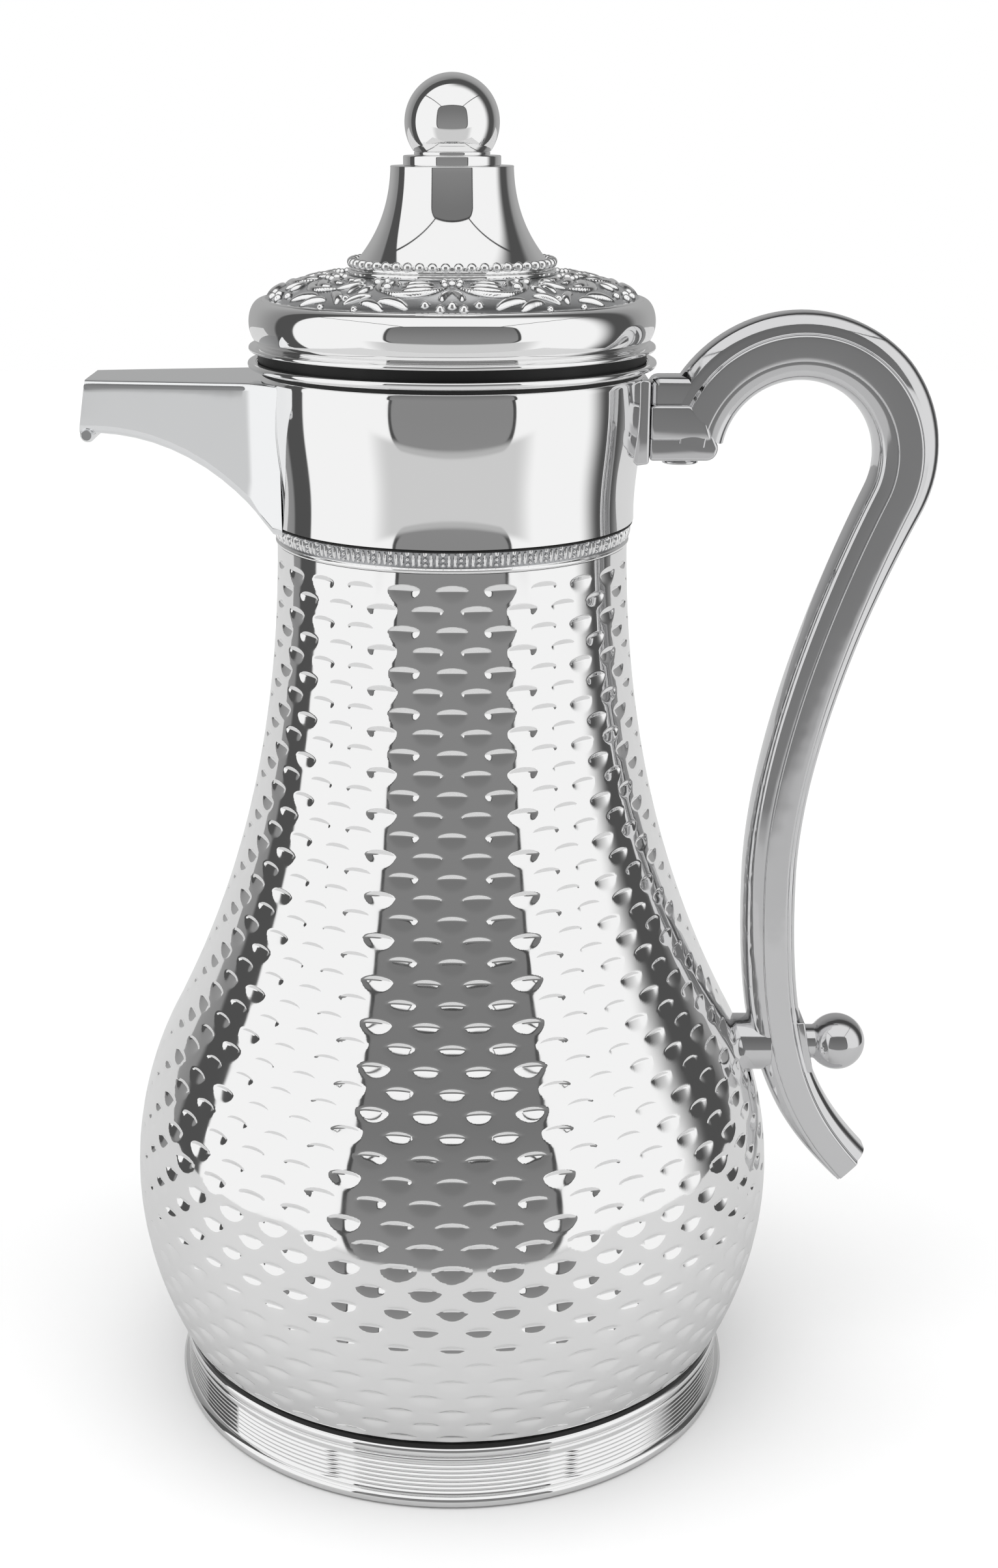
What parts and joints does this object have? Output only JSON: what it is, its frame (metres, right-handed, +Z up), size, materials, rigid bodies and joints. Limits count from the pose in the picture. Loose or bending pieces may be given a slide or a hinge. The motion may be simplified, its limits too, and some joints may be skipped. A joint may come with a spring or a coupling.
{
  "type": "vacuum dallah coffee pot",
  "caption": "Hammered pear-shaped coffee pot with beak spout, arched scroll handle, glass vacuum flask and a screw-in lid with bell and ball finial.",
  "frame": {"origin": "on the pot's axis at the underside of the foot, in the plane it stands on", "axes": "+Z up along the pot's axis, -X towards the spout, +X towards the handle, Y across the spout and handle's plane with -Y the viewed side"},
  "size_m": [0.1979, 0.1588, 0.3206],
  "materials": {
    "hammered_chrome": "hammered sheet, polished and chrome plated",
    "chrome_plate": "polished chrome plating",
    "embossed_chrome": "embossed sheet, chrome plated, darker in the recesses",
    "zinc_steel": "zinc plated steel",
    "black_plastic": "black polypropylene, satin",
    "white_plastic": "white polypropylene, matte",
    "rubber": "dark grey moulded rubber",
    "silicone": "translucent white silicone",
    "flask_glass": "silvered borosilicate glass",
    "felt": "pressed mineral felt",
    "foam": "rigid white foam"
  },
  "bodies": {
    "flask": {"body_shell": "hammered_chrome", "foot_ring": "chrome_plate", "base_cup": "white_plastic", "base_cap": "black_plastic", "base_screws": "zinc_steel", "tail_cushion": "rubber", "liner_outer": "flask_glass", "liner_inner": "flask_glass", "liner_pads": "felt", "mouth_gasket": "rubber", "ornament_band": "chrome_plate", "collar": "chrome_plate", "neck_ring": "chrome_plate", "throat": "white_plastic", "throat_clamp": "black_plastic", "spout": "chrome_plate", "spout_duct": "white_plastic", "spout_gasket": "rubber", "handle_socket": "chrome_plate", "socket_nut": "zinc_steel", "handle_shell": "chrome_plate", "handle_cover": "chrome_plate", "handle_screw": "zinc_steel", "screw_plug": "chrome_plate", "lower_boss": "chrome_plate", "stud_plate": "zinc_steel", "lower_stud": "zinc_steel", "saddle_plate": "chrome_plate", "ball_nut": "chrome_plate"},
    "gasket": {"lid_gasket": "silicone"},
    "seal": {"stopper_seal": "silicone"},
    "lid": {"lid_rim": "chrome_plate", "lid_crown": "embossed_chrome", "lid_bell": "chrome_plate", "bead_ring": "chrome_plate", "finial_disc": "chrome_plate", "finial_ball": "chrome_plate", "lid_skirt": "black_plastic", "stopper_body": "black_plastic", "stopper_foam": "foam", "stopper_cap": "black_plastic", "tie_bolt": "zinc_steel", "tie_washer": "zinc_steel"}
  },
  "joints": [
    {"name": "lid_lift", "type": "slide", "parent": "flask", "child": "gasket", "axis": [0, 0, 1], "range_m": [0, 0.07]},
    {"name": "lid_rise", "type": "slide", "parent": "gasket", "child": "seal", "axis": [0, 0, 1], "range_m": [0, 0.00515]},
    {"name": "lid_turn", "type": "hinge", "parent": "seal", "child": "lid", "pos_m": [0, 0, 0.26], "axis": [0, 0, 1], "range_deg": [0, 230]}
  ],
  "couplings": [
    {"joint": "lid_rise", "follows": "lid_turn", "m_per_rad": 0.0012732}
  ]
}
